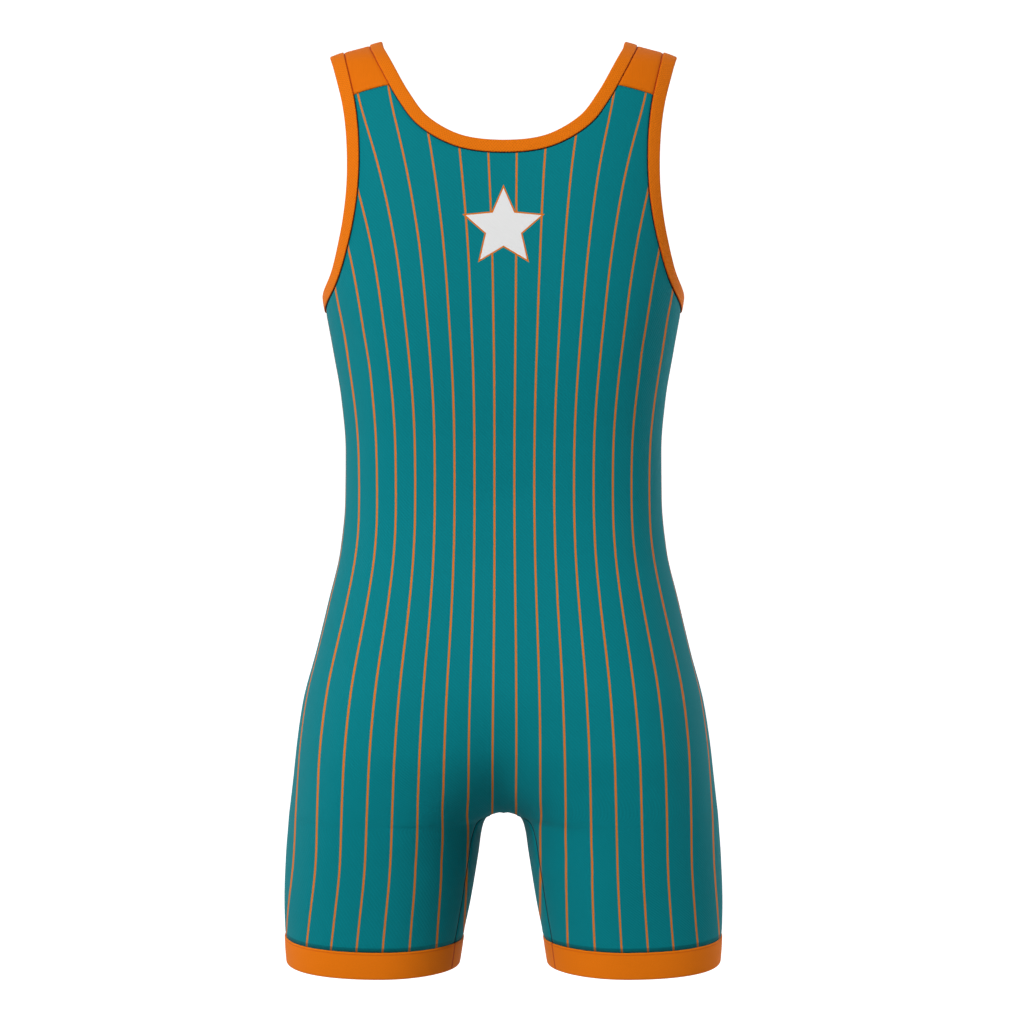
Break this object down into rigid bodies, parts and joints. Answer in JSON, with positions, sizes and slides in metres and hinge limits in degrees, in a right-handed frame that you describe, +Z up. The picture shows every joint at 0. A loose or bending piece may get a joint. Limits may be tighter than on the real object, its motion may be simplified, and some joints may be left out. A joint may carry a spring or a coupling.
{
  "type": "wrestling singlet",
  "caption": "Sleeveless one-piece stretch suit, hollow and filled out, with a scoop neck, deep armholes, short legs, folded bindings and pinstripes.",
  "frame": {"origin": "midway between the tops of the two shoulder straps, where a wearer's shoulders hold the garment", "axes": "+Z up along the body, +Y towards the wearer's front, +X towards the wearer's right side, so the back of the garment looks along -Y"},
  "size_m": [0.3936, 0.2418, 0.8273],
  "materials": {
    "jersey": "teal stretch knit with a soft sheen, printed with fine orange pinstripes",
    "shoulder_jersey": "plain orange stretch knit with a soft sheen",
    "binding": "orange rib binding, folded and stitched",
    "leg_band": "orange elastic leg band, smooth knit"
  },
  "bodies": {
    "root": {"back_panel": "jersey", "front_panel": "jersey", "shoulder_piece_right": "shoulder_jersey", "shoulder_piece_left": "shoulder_jersey", "neck_binding": "binding", "armhole_binding_right": "binding", "armhole_binding_left": "binding", "leg_band_right": "leg_band", "leg_band_left": "leg_band"}
  },
  "joints": []
}
